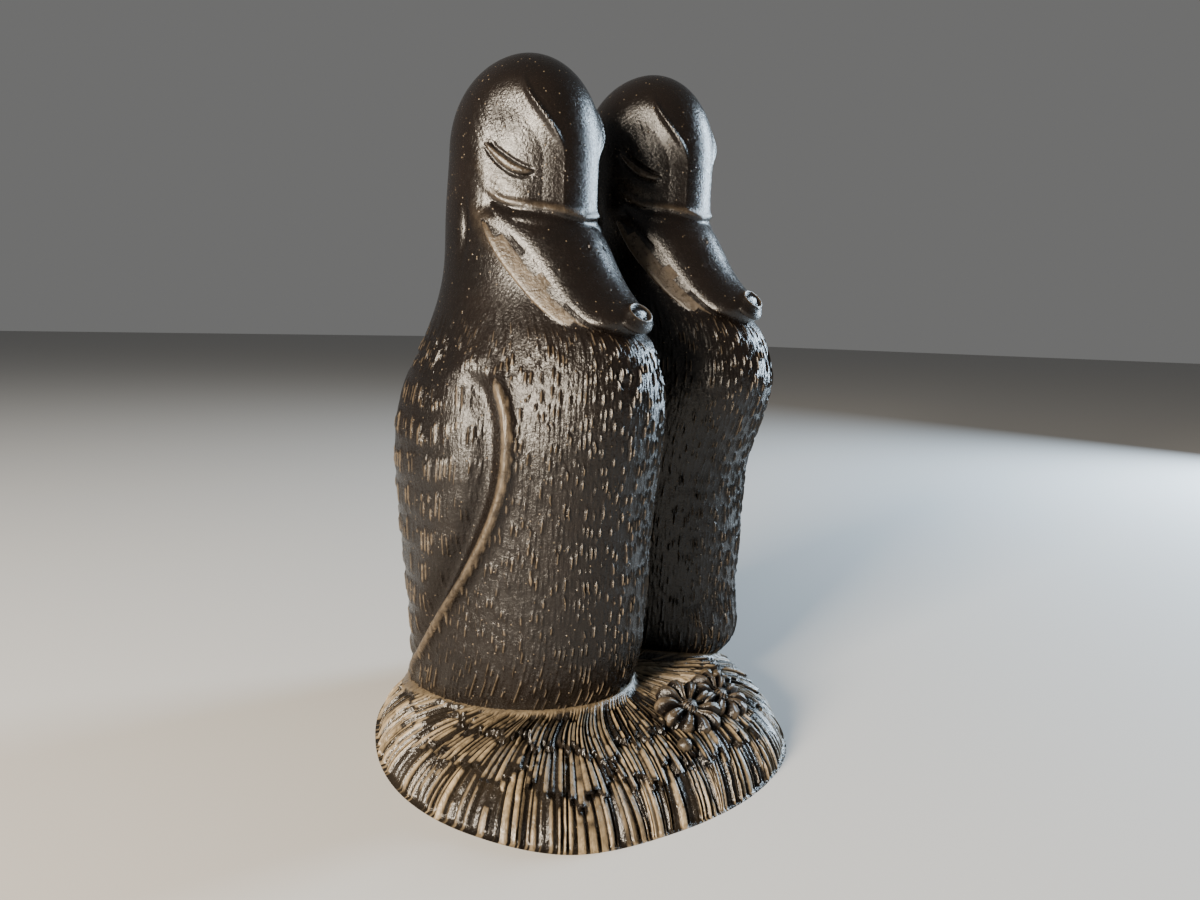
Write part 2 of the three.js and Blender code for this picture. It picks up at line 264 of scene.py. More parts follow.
def face_relief(side, z):
    brow = brow_angle(z)
    band = smooth(z, 98.0, 101.0) * (1.0 - smooth(z, 116.0, 124.0))
    hollow = np.clip((side - brow) / 16.0, 0.0, 1.0) ** 0.7 * (1.0 - smooth(side, 76.0, 98.0))
    edge = 0.7 * bump(side - brow - 0.5, 2.8) * smooth(z, 109.5, 114.0) * (1.0 - smooth(z, 119.5, 123.5))
    flat = 0.6 * np.sin(np.pi * np.clip((side - brow) / (84.0 - brow), 0.0, 1.0))
    return band * (-0.85 * hollow - flat) + edge


def shoulder_relief(side, z):
    return 1.1 * bump(side - 80.0, 13.0) * bump(z - 72.5, 4.5)


def tail_relief(side, z):
    return 2.6 * bump(180.0 - side, 15.0) * bump(z - 9.0, 6.0)


def settle(form, x, y, z):
    head = smooth(z, 68.0, 84.0)
    return np.stack([x + form["x"], y + form["back"] * head, z * form["tall"] + form["up"] * head], -1)


def skin(form, angle, z, out):
    c = np.cos(np.radians(angle))
    s = np.sin(np.radians(angle))
    side = np.abs(angle)
    slim = 1.0 - (1.0 - form["belly"]) * (1.0 - smooth(z, 48.0, 72.0)) * smooth(z, 8.0, 24.0)
    ahead = np.where(c > 0, front_reach(z) * slim, back_reach(z))
    cap = crown(z)
    carved = face_relief(side, z) * cap + shoulder_relief(side, z) + tail_relief(side, z) + out
    return settle(form, (half_width(z) * cap + carved) * s, -(ahead * cap + carved) * c, z)


# ---- Carved detail on the skin, in millimetres out of it ----
STROKE_DEPTH = 0.42
# Every stroke of down is as wide as these neighbouring columns of the sheet: a cut, then a ridge.
STROKE_SHAPE = np.array([0.0, 1.0, 0.35])


def strokes(number, along, length, share, jitter, seed):
    """How far a stroke stands out, 0 to 1, along rows of strokes with ragged ends."""
    at = along / length + jitter * scatter(number, seed)
    row = np.floor(at)
    y = np.abs(2.0 * (at - row) - 1.0)
    strength = np.clip(1.35 * scatter(number + 57.0 * row, seed + 1.0) - 0.1, 0.0, 1.0)
    return strength * (1.0 - smooth(y, share - 0.25, share))


def wing_relief(behind, side, z):
    """The bead along the wing's front edge, the groove behind it, its face, and its rear edge."""
    bead = 1.25 * bump(behind + 0.1, 1.0 + 0.6 * smooth(z, 34.0, 12.0))
    groove = -2.1 * bump(behind - 2.7, np.where(behind > 2.7, 2.1, 1.5)) * smooth(z, 4.0, 20.0)
    face = 0.5 * smooth(behind, 4.0, 9.0)
    rear = smooth(side, 139.0, 148.0)
    return bead + groove + face * (1.0 - rear) - 0.9 * bump(side - 146.0, 5.0)


def down_relief(column, angle, z, behind, winged):
    """Strokes of down over the breast and belly, in tiers on the wing, and none on the neck.

    Gives how far out the skin moves, and how much each point stands on a ridge.
    """
    reach = np.radians(angle) * 22.0
    shift = 1.0 * (drift(reach / 2.6, z / 3.4, 6.3) > 0.0)
    number = np.floor((column + shift) / len(STROKE_SHAPE)) + 400.0 * shift
    across = STROKE_SHAPE[((column + shift) % len(STROKE_SHAPE)).astype(int)]
    sway = drift(reach / 9.0, z / 9.0, 4.1)
    short = strokes(number, z + 0.8 * sway, 3.0, 0.8, 1.0, 3.0)
    long = strokes(number, z + 0.8 * sway, 5.6, 0.95, 1.0, 7.0)
    arch = 1.2 * bump(np.abs(reach) - 38.0, 8.0)
    tier = strokes(number, z - 0.5 + arch + 0.5 * sway, 6.45, 0.78, 0.16, 11.0)
    low = smooth(z, 25.0, 17.0)
    on_wing = winged * smooth(behind, 3.0, 4.6)
    stand = short * (1.0 - low) + long * low
    stand = stand * (1.0 - on_wing) + tier * on_wing
    begins = smooth(z + 2.4 * scatter(number, 5.0), 83.5, 75.0)
    bare = winged * np.maximum(bump(behind - 0.4, 1.9), bump(behind - 2.2, 1.5))
    shown = begins * (1.0 - np.minimum(bare, 1.0))
    # Stroke crests get high ridge values and are painted paler: partly wear, mostly painted highlight.
    ridge = across * stand
    depth = STROKE_DEPTH * (1.0 - 0.15 * on_wing)
    return -depth * shown * (1.0 - ridge), 0.5 + shown * (ridge - 0.5)


# Lines on the face, in degrees from the front and height.
EYE_LID = [(86, 111.9), (76, 109.5), (64, 107.5), (53, 106.5), (42, 106.4)]
FEATHER_EDGE = [(97, 106.5), (84, 103.2), (68, 100.9), (50, 100.2), (36, 99.9), (23, 99.4), (0, 98.6)]
JAW_EDGE = [(98, 101), (78, 97), (61, 92), (42, 86.8), (30, 81.5), (16, 77.2), (0, 75.6)]
FACE_RADIUS = 14.0
FACE_GIRTH = np.radians(1.0) * FACE_RADIUS


def face_line(line, side, z):
    return along_line([(angle * FACE_GIRTH, height) for angle, height in line], side * FACE_GIRTH, z)


def eye_relief(side, z):
    """A swollen lid between two creases that meet at both corners, and a soft pouch below."""
    travel, left = face_line(EYE_LID, side, z)
    spread = np.sqrt(np.maximum(np.sin(np.pi * np.clip(travel, 0.0, 1.0)), 0.0))
    inside = smooth(travel, 0.0, 0.1) * smooth(travel, 1.0, 0.9)
    lash = 0.05 * np.cos(travel * 2 * np.pi * 17.0) * bump(left + 0.5, 0.35)
    swell = np.sqrt(np.maximum(1.0 - (left / (0.85 * spread + 0.05)) ** 2, 0.0))
    upper = -0.5 * bump(left + 1.08 * spread, 0.33)
    lower = -0.34 * bump(left - 1.05 * spread, 0.3)
    pouch = 0.25 * bump(left - 3.4, 1.5) * np.sin(np.pi * np.clip(travel, 0.0, 1.0))
    return inside * ((0.55 + lash) * swell * spread + (upper + lower) * (0.3 + 0.7 * spread)) + pouch


def head_relief(side, z):
    """Lids, the feathered edge over the bill, the hollow of the cheek and the swell under the jaw."""
    _, edge = face_line(FEATHER_EDGE, side, z)
    lip = 0.45 * bump(edge + 0.55, 0.75) - 0.35 * bump(edge - 0.7, 0.8) * smooth(side, 80.0, 66.0)
    cheek = -0.8 * bump(side - 101.0, 3.6) * bump(z - 97.0, 4.5)
    _, jaw = face_line(JAW_EDGE, side, z)
    swell = 0.3 * bump(jaw - 0.6, 2.2) * smooth(side, 108.0, 80.0)
    near_face = smooth(side, 90.0, 70.0)
    pebbles = 0.09 * drift(side * 1.05, z * 4.1, 2.0) * bump(side - 76.0, 24.0) * bump(z - 115.5, 4.5)
    return eye_relief(side, z) + lip * near_face + cheek + swell + pebbles


# A small half-round cut that a slipped tool left on the nearer breast: degrees, height, radius.
SLIP = (-13.5, 72.0, 1.6)


def slip_relief(form, angle, z):
    if form is not NEAR:
        return 0.0
    x = np.radians(angle - SLIP[0]) * 24.0
    y = z - SLIP[1]
    return -0.55 * bump(np.hypot(x, y) - SLIP[2], 0.4) * smooth(y, 0.9, 0.1)


def column_angle(column, columns):
    """Columns stand closer round the front and sides than down the back."""
    share = column / columns * 2.0
    side = np.where(share <= 1.0, share, 2.0 - share)
    angle = profile([(0, 0), (0.4, 56), (0.78, 112), (1, 180)])(side)
    return np.where(share <= 1.0, angle, -angle)


def body(form):
    heights = profile([(0, CROWN_START), (52, 97), (82, 80), (175, 8), (SIDE_RINGS, FOOT_HEIGHT)])
    rings = CAP_RINGS + SIDE_RINGS

    def shape(column, ring):
        turn = np.minimum(ring / CAP_RINGS, 1.0) * np.pi / 2
        z = np.where(
            ring <= CAP_RINGS,
            CROWN_START + (HEIGHT - CROWN_START) * np.cos(turn),
            heights(ring - CAP_RINGS),
        )
        angle = column_angle(column, BODY_COLUMNS)
        across = np.abs(angle) / 180.0
        # The columns bend along the wing and sway a little, and the strokes follow them.
        lean = 0.3 * (wing_angle(z) - 62.0) * smooth(z, 80.0, 66.0) * np.sin(np.pi * across) ** 1.5
        sway = 1.3 * drift(angle / 22.0, z / 11.0, 1.3) * np.sin(np.pi * across)
        angle = angle + np.sign(angle) * lean + sway * smooth(z, 84.0, 76.0)
        side = np.abs(angle)
        # Only the outer side has a wing, apart from its rear edge, which both sides have.
        outer = np.where((np.sign(angle) == form["outer"]) | (side > 140.0), 1.0, 0.0)
        winged = smooth(z, 6.0, 16.0) * (1.0 - smooth(z, 68.0, 74.0)) * outer
        behind = np.radians(side - wing_angle(z)) * half_width(z)
        down, ridge = down_relief(column, angle, z, behind, winged)
        carved = winged * wing_relief(behind, side, z) + head_relief(side, z) + slip_relief(form, angle, z)
        points = skin(form, angle, z, carved + down)
        points[ring == rings] = settle(form, 0.0, 0.0, FOOT_HEIGHT)
        # Raised carving such as the bead gets a higher ridge value and is painted paler, partly as wear and
        # partly as painted highlight.
        return points, np.clip(ridge + 0.32 * np.clip(carved / 0.9, -1.0, 1.0), 0.0, 1.0)

    return shaped_ball(BODY_COLUMNS, rings, shape)


# ---- Bill: a domed upper half with a sharp lower edge, over a flat-sided jaw ----
# The path holds distances forward and heights, and the profiles run from 0 at the root to 1 at the
# tip. Seat is how low the widest line sits, from 0 halfway down to 1 at the bottom. Boxiness below 1
# squares the section's corners and above 1 sharpens its sides, and flare narrows its top.
UPPER_BILL = {
    "path": [(0, 104), (4.5, 101.2), (11.2, 95.8), (18, 87.2), (23.8, 81.5), (27.2, 79.7)],
    "thick": profile([
        (0, 0.5), (0.12, 1.3), (0.2, 2.1), (0.3, 3.2), (0.42, 3.8), (0.64, 3.0), (0.84, 3.0), (1, 3.1),
    ]),
    "wide": profile([
        (0, 11.6), (0.12, 12.5), (0.2, 12.9), (0.3, 12.4), (0.43, 11), (0.6, 9.5), (0.78, 8.9), (1, 8.4),
    ]),
    "seat": profile([(0, 0.8), (0.6, 0.8), (0.8, 0.45), (0.95, 0.0), (1, 0.0)]),
    "boxiness": 1.2,
    "flare": 0.0,
    "dust_and_light": 0.3,
}
LOWER_BILL = {
    "path": [(-0.5, 102.4), (3.6, 98.4), (8.6, 92.2), (15.2, 85.1), (21.2, 80.3), (24.6, 77.8)],
    "thick": profile([(0, 0.6), (0.15, 2.2), (0.35, 3.1), (0.5, 3.0), (0.75, 2.5), (1, 1.6)]),
    "wide": profile([
        (0, 11.4), (0.15, 12.1), (0.3, 12.3), (0.45, 11.6), (0.65, 10.1), (0.84, 8.9), (1, 7.1),
    ]),
    "seat": profile([(0, 0.0), (1, 0.0)]),
    "boxiness": 0.3,
    "flare": 0.2,
    # The jaw's pale band is mostly painted light and partly dust.
    "dust_and_light": 0.8,
}


def bill_half(form, half):
    columns, rings = BILL_SHEET
    route = curve(half["path"])
    heading = np.gradient(route, axis=0)
    heading /= np.linalg.norm(heading, axis=1)[:, None]

    def shape(column, ring):
        down = ring / rings
        at = down * (len(route) - 1)
        steps = np.arange(len(route))
        forward = np.interp(at, steps, route[:, 0])
        height = np.interp(at, steps, route[:, 1])
        run = np.interp(at, steps, heading[:, 0])
        fall = np.interp(at, steps, heading[:, 1])
        bluntness = np.where(down < 0.5, 7.0, 3.6)
        taper = np.sqrt(np.maximum(1.0 - np.abs(2.0 * down - 1.0) ** bluntness, 0.0))
        c = np.cos(2 * np.pi * column / columns)
        s = np.sin(2 * np.pi * column / columns)
        rounded = half["boxiness"]
        across = half["wide"](down) * taper * np.sign(c) * np.abs(c) ** rounded
        over = np.sign(s) * np.abs(s) ** rounded
        across *= 1.0 - half["flare"] * over
        seat = half["seat"](down)
        over = np.where(s > 0, 1.0 + seat, 1.0 - seat) * over - seat
        rounded_tip = np.sqrt(1.0 - np.clip((down - 0.92) / 0.08, 0.0, 1.0) ** 2)
        over = over * half["thick"](down) * np.minimum(1.6 * taper, rounded_tip)
        return settle(form, across, -(forward - fall * over), height + run * over), half["dust_and_light"]

    return shaped_ball(columns, rings, shape)


NAIL = {"forward": 27.5, "height": 82.5, "radius": 2.8, "flatness": 0.74, "lean": 40.0}
NOSTRIL = {"forward": 17.3, "height": 93.9, "side": 2.1, "half": (0.42, 0.8, 0.7), "lean": -48.0}


def on_duckling(form, points, lean, x, forward, z):
    turn = np.array(Matrix.Rotation(np.radians(lean), 3, "X"))
    points = points @ turn.T + np.array([x, -forward, z])
    return settle(form, points[:, 0], points[:, 1], points[:, 2])


def nail(form):
    """The oval nail at the bill's tip: a raised rim round a lower, rough middle, with a painted highlight
    along the rim.
    """
    columns, rings = NAIL_SHEET
    reach = profile([(0, 0), (0.4, 0.7), (0.5, 0.84), (0.6, 0.97), (0.7, 1.1), (0.88, 1.5), (1, 0)])
    top = profile([(0, -0.3), (0.4, -0.3), (0.5, 0.1), (0.6, 0.15), (0.7, -0.3), (0.88, -2.0), (1, -2.0)])

    def shape(column, ring):
        turn = 2 * np.pi * column / columns
        down = ring / rings
        radius = NAIL["radius"] * reach(down)
        rough = 0.12 * drift(radius * 3.0, turn * 3.0, 1.0) * smooth(down, 0.45, 0.3)
        x, y = radius * np.cos(turn), radius * NAIL["flatness"] * np.sin(turn)
        disc = np.stack([x, y, top(down) + rough], -1)
        dust_and_light = 0.2 + 0.7 * bump(down - 0.56, 0.1)
        return on_duckling(form, disc, 90.0 - NAIL["lean"], 0.0, NAIL["forward"], NAIL["height"]), dust_and_light

    return shaped_ball(columns, rings, shape)


def unit_ball(column, ring):
    turn = 2 * np.pi * column / BALL_SHEET[0]
    polar = np.pi * ring / BALL_SHEET[1]
    return np.stack([np.sin(polar) * np.cos(turn), np.sin(polar) * np.sin(turn), np.cos(polar)], -1)


def nostril(form, side):
    def shape(column, ring):
        ball = unit_ball(column, ring) * np.array(NOSTRIL["half"])
        place_at = (NOSTRIL["lean"], side * NOSTRIL["side"], NOSTRIL["forward"], NOSTRIL["height"])
        return on_duckling(form, ball, *place_at), 0.0

    return shaped_ball(*BALL_SHEET, shape)


def duckling(form):
    others = [
        (bill_half(form, LOWER_BILL), "UNION"),
        (bill_half(form, UPPER_BILL), "UNION"),
        (nail(form), "UNION"),
        (nostril(form, -1), "DIFFERENCE"),
        (nostril(form, 1), "DIFFERENCE"),
    ]
    return joined(f"{form['name']}_duckling", body(form), others, SEAM_WELD)


# ---- Mound of grass ----
MOUND_OUTLINE = curve([
    (-5, 36), (-30, 30), (-46, 13), (-54, -5), (-54.5, -22), (-47.5, -39), (-31, -47.5),
    (-11, -50.5), (7, -46.5), (22, -34), (32.5, -18), (38.5, 0), (35, 20), (19, 32),
], closed=True, steps=1401)


def mound_point(around, share, z):
    at = (around % 1.0) * (len(MOUND_OUTLINE) - 1)
    steps = np.arange(len(MOUND_OUTLINE))
    x = MOUND_CENTRE[0] + (np.interp(at, steps, MOUND_OUTLINE[:, 0]) - MOUND_CENTRE[0]) * share
    y = MOUND_CENTRE[1] + (np.interp(at, steps, MOUND_OUTLINE[:, 1]) - MOUND_CENTRE[1]) * share
    return np.stack([x, y, z + 0.0 * x], -1)


def mound_height(share):
    return MOUND_HEIGHT * np.maximum(1.0 - share**3.4, 0.0) ** 0.62


def beyond_feet(points):
    """How far each point of the mound lies outside the closest duckling's skin."""
    gaps = []
    for form in (NEAR, FAR):
        x = points[:, 0] - form["x"]
        y = points[:, 1]
        angle = np.degrees(np.arctan2(x, -y))
        edge = skin(form, angle, np.clip(points[:, 2], FOOT_HEIGHT, MOUND_HEIGHT), 0.0)
        gaps.append(np.hypot(x, y) - np.hypot(edge[:, 0] - form["x"], edge[:, 1]))
    return np.minimum(gaps[0], gaps[1])


# Each tier of grass ends in ragged tips at a share of the way out, and drops to the next.
TIER_ENDS = [0.70, 0.86, 1.2]
TIER_STARTS = [0.42, 0.66, 0.82]
# How far a blade stands out across its columns, starting with the cut beside it: four kinds.
BLADE_SHAPES = np.array([
    [0.0, 0.9, 1.0, 0.6],
    [0.0, 1.0, 0.6, 0.2],
    [0.0, 0.4, 0.9, 1.0],
    [0.0, 1.0, 0.9, 0.9],
])
BLADE_COLUMNS = BLADE_SHAPES.shape[1]
BLADE_RELIEF = 1.35
LEDGE = 1.4
# The sole ends just inside the outline, at this share of it.
RIM = 0.985
# Between the nearer feet and the daisies the grass is worn almost smooth.
SMOOTH_PATCH = (-9.0, -25.5)


def mound():
    """A low dome with a flat sole, under tiers of blades, each laid over the next one out."""
    rows = MOUND_ROWS

    def shape(column, ring):
        around = column / MOUND_COLUMNS
        share = np.clip(ring / (rows - 2), 0.0, 1.0) ** 0.62
        lift = np.zeros(len(share))
        ridge = np.zeros(len(share))
        for tier in (2, 1, 0):
            shift = tier * 2
            number = np.floor((column + shift) / BLADE_COLUMNS) % (MOUND_COLUMNS / BLADE_COLUMNS)
            seed = 5.0 + tier
            kind = np.floor(len(BLADE_SHAPES) * scatter(number, seed + 7.0)).astype(int)
            across = BLADE_SHAPES[kind, ((column + shift) % BLADE_COLUMNS).astype(int)]
            tip = TIER_ENDS[tier] + 0.075 * (scatter(number, seed) - 0.5)
            tip += 0.014 * np.sin(around * 41.0 + seed) + 0.01 * np.sin(around * 97.0 + 2 * seed)
            cut = 0.45 + 0.55 * smooth(scatter(number, seed + 6.0), 0.1, 0.6)
            clump = scatter(np.floor(number / 3.0 + 0.5 * tier), seed + 2.0) - 0.5
            tip += 0.06 * clump
            strength = 0.55 + 0.45 * scatter(number, seed + 9.0)
            split = strokes(number, share * 46.0, 8.0, 1.0, 1.0, seed + 4.0)
            stand = (1.0 - (1.0 - across) * cut) * strength * (0.6 + 0.4 * split) + 0.3 * clump
            stand = np.clip(stand, 0.0, 1.0)
            # Standing blades are painted pale, as painted highlight on their crests, and dark at each tier's
            # tips and just below them, as painted shade under the ledges.
            clear_of_ledge_shade = 1.0 - bump(np.maximum(tip - share, 0.0), 0.014)
            rise = np.clip((share - TIER_STARTS[tier]) / (tip - TIER_STARTS[tier]), 0.0, 1.0)
            covered = share < tip
            lift = np.where(covered, BLADE_RELIEF * stand + LEDGE * rise, lift)
            ridge_shaded_below_tip = ridge * smooth(share - tip, 0.0, 0.03)
            ridge = np.where(covered, smooth(stand, 0.12, 0.72) * clear_of_ledge_shade, ridge_shaded_below_tip)
        lean = 0.06 * np.sin(around * 6.0 * np.pi + 1.0) + 0.012 * np.sin(around * 26.0 * np.pi + 2.0)
        lean += 0.005 * np.sin(around * 74.0 * np.pi + 6.0 * share)
        # The lean fades towards the middle, so that neighbouring columns never cross.
        around = around + (share - 0.7) * smooth(share, 0.2, 0.7) * lean
        base = mound_point(around, share, mound_height(share))
        feet = beyond_feet(base)
        clear = smooth(feet, -0.6, 0.9)
        smoothed = bump(base[:, 0] - SMOOTH_PATCH[0], 5.5) * bump(base[:, 1] - SMOOTH_PATCH[1], 5.0)
        lift -= 0.75 * smoothed * (lift - 0.7 * BLADE_RELIEF)
        lift = (lift - BLADE_RELIEF - LEDGE) * clear - 0.7 * (1.0 - clear)
        slope = smooth(share, 0.55, 1.0)
        points = base.copy()
        reach = 1.0 + lift * slope / 46.0
        points[:, :2] = MOUND_CENTRE + (base[:, :2] - MOUND_CENTRE) * reach[:, None]
        points[:, 2] = np.maximum(base[:, 2] + lift * (1.0 - 0.8 * slope), 0.15)
        sole = ring >= rows - 1
        flat = mound_point(around, np.where(ring == rows, 0.0, RIM), 0.0)
        points[sole] = flat[sole]
        return points, 0.75 + clear * (1.0 - 0.6 * smoothed) * (ridge - 0.75)

    return shaped_ball(MOUND_COLUMNS, rows, shape)


# Round buds among the blades, in the pair's frame: x, y, z, radius.
BUDS = [(-20.3, -40.7, 9.0, 1.3), (5.1, -28.2, 11.2, 1.1), (6.9, -29.4, 10.9, 0.9)]


def bud(x, y, z, radius):
    def shape(column, ring):
        return radius * unit_ball(column, ring) + np.array([x, y, z]), 0.6

    return shaped_ball(*BALL_SHEET, shape)


# ---- Daisies ----
# Place round the mound's outline, share of the way out to it, and radius.
DAISIES = [(0.49, 0.63, 6.3), (0.545, 0.67, 5.8)]
PETALS = 10
PETAL_COLUMNS = 20
DAISY_RINGS = 48
DAISY_LEAN = 26.0


def daisy(around, share, radius):
    centre = mound_point(np.array([around]), np.array([share]), mound_height(share))[0]
    outward_angle = np.arctan2(centre[1] - MOUND_CENTRE[1], centre[0] - MOUND_CENTRE[0])
    hinge = Vector((-np.sin(outward_angle), np.cos(outward_angle), 0.0))
    lean = np.array(Matrix.Rotation(np.radians(DAISY_LEAN), 3, hinge))
    out = profile([(0, 0), (0.12, 0.18), (0.3, 0.45), (0.6, 0.9), (0.72, 1.0), (0.8, 1.0), (1, 0)])
    top = profile([
        (0, 1.3), (0.1, 1.1), (0.16, 0.5), (0.4, 1.5), (0.6, 1.2), (0.72, 0.4), (0.8, -1.6), (1, -1.6),
    ])

    def shape(column, ring):
        turn = column / (PETALS * PETAL_COLUMNS)
        down = ring / DAISY_RINGS
        petal = np.abs(np.cos(np.pi * PETALS * turn))
        reach = out(down)
        notch = 1.0 - 0.32 * smooth(reach, 0.5, 1.0) * (1.0 - np.sqrt(petal))
        vein = 0.35 * bump(1.0 - petal, 0.08)
        angle = 2 * np.pi * turn
        gap = smooth(reach, 0.15, 0.4) * smooth(down, 0.78, 0.7)
        z = top(down) - (2.1 * (1.0 - petal) ** 1.3 + vein) * gap
        x = radius * reach * notch * np.cos(angle)
        y = radius * reach * notch * np.sin(angle)
        flower = np.stack([x, y, z], -1)
        # Petal crests get high ridge values and are painted paler: a painted highlight along each petal.
        return flower @ lean.T + centre, 0.2 + 0.65 * petal**2

    return shaped_ball(PETALS * PETAL_COLUMNS, DAISY_RINGS, shape)


# ---- Materials ----
class Maker:
    """Adds nodes to a node tree and links them."""

    def __init__(self, tree):
        self.tree = tree

    def add(self, kind, settings=None, **inputs):
        node = self.tree.nodes.new(kind)
        for name, value in (settings or {}).items():
            setattr(node, name, value)
        for name, value in inputs.items():
            self.feed(node.inputs[name.replace("_", " ")], value)
        return node

    def feed(self, socket, value):
        if isinstance(value, bpy.types.NodeSocket):
            self.tree.links.new(value, socket)
        else:
            socket.default_value = value

    def math(self, operation, first, second=0.0):
        node = self.tree.nodes.new("ShaderNodeMath")
        node.operation = operation
        self.feed(node.inputs[0], first)
        self.feed(node.inputs[1], second)
        return node.outputs[0]

    def fade(self, value, low, high, start=0.0, end=1.0):
        node = self.tree.nodes.new("ShaderNodeMapRange")
        for socket, setting in zip(node.inputs[:5], (value, low, high, start, end)):
            self.feed(socket, setting)
        return node.outputs["Result"]

    def blend(self, share, first, second):
        node = self.tree.nodes.new("ShaderNodeMix")
        node.data_type = "RGBA"
        for socket, setting in zip((node.inputs[0], node.inputs[6], node.inputs[7]), (share, first, second)):
            self.feed(socket, setting)
        return node.outputs[2]


def new_group(name, ins, outs):
    """A node group with named inputs (name, kind, default) and outputs (name, kind)."""
    tree = bpy.data.node_groups.new(name, "ShaderNodeTree")
    for label, kind, value in ins:
        socket = tree.interface.new_socket(label, in_out="INPUT", socket_type=kind)
        socket.default_value = value
    for label, kind in outs:
        tree.interface.new_socket(label, in_out="OUTPUT", socket_type=kind)
    maker = Maker(tree)
    return maker, maker.add("NodeGroupInput").outputs, maker.add("NodeGroupOutput").inputs


# How fine each pattern in the stone is: the cells of it that fit in a metre.
PEBBLE_SCALE = 1900.0
SCRATCH_SCALE = 2600.0
FLECK_SCALE = 2300.0
CLOUD_SCALE = 55.0
SMEAR_SCALE = 800.0
# In metres: where the bare neck ends and the down has all its scratches, and the grain's depth.
NECK_END = 0.084
DOWN_START = 0.07
GRAIN_DEPTH = 0.00016


def stone_grain():
    """Fine pebbles left by the file, upright scratches among the down, and flecks in the stone."""
    make, given, result = new_group(
        "stone_grain",
        [("Pebble Size", "NodeSocketFloat", 1.0), ("Fleck Share", "NodeSocketFloat", 0.1)],
        [("Height", "NodeSocketFloat"), ("Flecks", "NodeSocketFloat")],
    )
    where = make.add("ShaderNodeTexCoord").outputs["Object"]
    scale = make.math("DIVIDE", PEBBLE_SCALE, given["Pebble Size"])
    pebbles = make.add("ShaderNodeTexNoise", Vector=where, Scale=scale, Detail=4.0, Roughness=0.6)
    upright = make.add("ShaderNodeMapping", Vector=where, Scale=(1.0, 1.0, 0.14)).outputs["Vector"]
    scratches = make.add("ShaderNodeTexNoise", Vector=upright, Scale=SCRATCH_SCALE, Detail=3.0, Roughness=0.6)
    height = make.add("ShaderNodeSeparateXYZ", Vector=where).outputs["Z"]
    downy = make.fade(height, NECK_END, DOWN_START, 0.0, 1.3)
    spots = make.add("ShaderNodeTexVoronoi", Vector=where, Scale=FLECK_SCALE)
    chosen = make.fade(spots.outputs["Color"], make.math("SUBTRACT", 1.0, given["Fleck Share"]), 1.0)
    core = make.fade(spots.outputs["Distance"], 0.38, 0.15)
    flecks = make.math("MULTIPLY", make.math("GREATER_THAN", chosen, 0.0), core)
    make.feed(result["Flecks"], flecks)
    rough = make.math("ADD", pebbles.outputs["Fac"], make.math("MULTIPLY", scratches.outputs["Fac"], downy))
    make.feed(result["Height"], make.math("ADD", rough, make.math("MULTIPLY", flecks, 0.5)))
    return make.tree


def stone_colour():
    """Nearly black stone painted brown, and then pale, where its ridges stand highest: partly wear and dust,
    partly painted highlight.
    """
    make, given, result = new_group(
        "stone_colour",
        [
            ("Ridge", "NodeSocketFloat", 0.5),
            ("Flecks", "NodeSocketFloat", 0.0),
            ("Deep", "NodeSocketColor", (0.0, 0.0, 0.0, 1.0)),
            ("Rubbed", "NodeSocketColor", (0.0, 0.0, 0.0, 1.0)),
            ("Dust", "NodeSocketColor", (0.0, 0.0, 0.0, 1.0)),
            ("Rubbing", "NodeSocketFloat", 1.0),
        ],
        [("Color", "NodeSocketColor"), ("Roughness", "NodeSocketFloat")],
    )
    where = make.add("ShaderNodeTexCoord").outputs["Object"]
    cloud = make.add("ShaderNodeTexNoise", Vector=where, Scale=CLOUD_SCALE, Detail=5.0, Roughness=0.6)
    smear = make.add("ShaderNodeTexNoise", Vector=where, Scale=SMEAR_SCALE, Detail=5.0, Roughness=0.65)
    uneven = make.fade(cloud.outputs["Fac"], 0.35, 0.7)
    top = make.fade(given["Ridge"], 0.52, 0.95)
    patchy = make.fade(uneven, 0.0, 1.0, 0.45, 1.0)
    wear_and_highlight = make.math("MULTIPLY", make.math("MULTIPLY", top, given["Rubbing"]), patchy)
    colour = make.blend(make.math("MULTIPLY", uneven, 0.25), given["Deep"], given["Rubbed"])
    colour = make.blend(wear_and_highlight, colour, given["Rubbed"])
    dusty_highlit = make.math("MULTIPLY", wear_and_highlight, make.fade(smear.outputs["Fac"], 0.2, 0.62))
    pale = make.math("MAXIMUM", dusty_highlit, make.math("MULTIPLY", given["Flecks"], 0.75))
    # The pale ridge colour is partly dust and partly painted highlight.
    colour = make.blend(pale, colour, given["Dust"])
    make.feed(result["Color"], colour)
    waxy = make.fade(smear.outputs["Fac"], 0.3, 0.7, 0.2, 0.32)
    rough = make.math("ADD", waxy, make.math("MULTIPLY", dusty_highlit, 0.22))
    make.feed(result["Roughness"], rough)
    return make.tree


GRAIN = stone_grain()
COLOUR = stone_colour()


def soapstone(name, deep, wear_and_highlight, dust_and_highlight, ridge_lightening, pebble_size, fleck_share, gloss):
    material = bpy.data.materials.new(name)
    material.use_nodes = True
    make = Maker(material.node_tree)
    shader = material.node_tree.nodes["Principled BSDF"]
    ridge = make.add("ShaderNodeAttribute", {"attribute_name": "ridge"}).outputs["Fac"]
    grain = make.add(
        "ShaderNodeGroup", {"node_tree": GRAIN},
        Pebble_Size=pebble_size, Fleck_Share=fleck_share,
    )
    colour = make.add(
        "ShaderNodeGroup", {"node_tree": COLOUR},
        Ridge=ridge, Flecks=grain.outputs["Flecks"], Rubbing=ridge_lightening,
        Deep=(*deep, 1.0), Rubbed=(*wear_and_highlight, 1.0), Dust=(*dust_and_highlight, 1.0),
    )
    relief = make.add("ShaderNodeBump", Strength=0.7, Distance=GRAIN_DEPTH, Height=grain.outputs["Height"])
    make.feed(shader.inputs["Base Color"], colour.outputs["Color"])
    make.feed(shader.inputs["Roughness"], colour.outputs["Roughness"])
    make.feed(shader.inputs["Normal"], relief.outputs["Normal"])
    shader.inputs["Specular IOR Level"].default_value = gloss
    return material


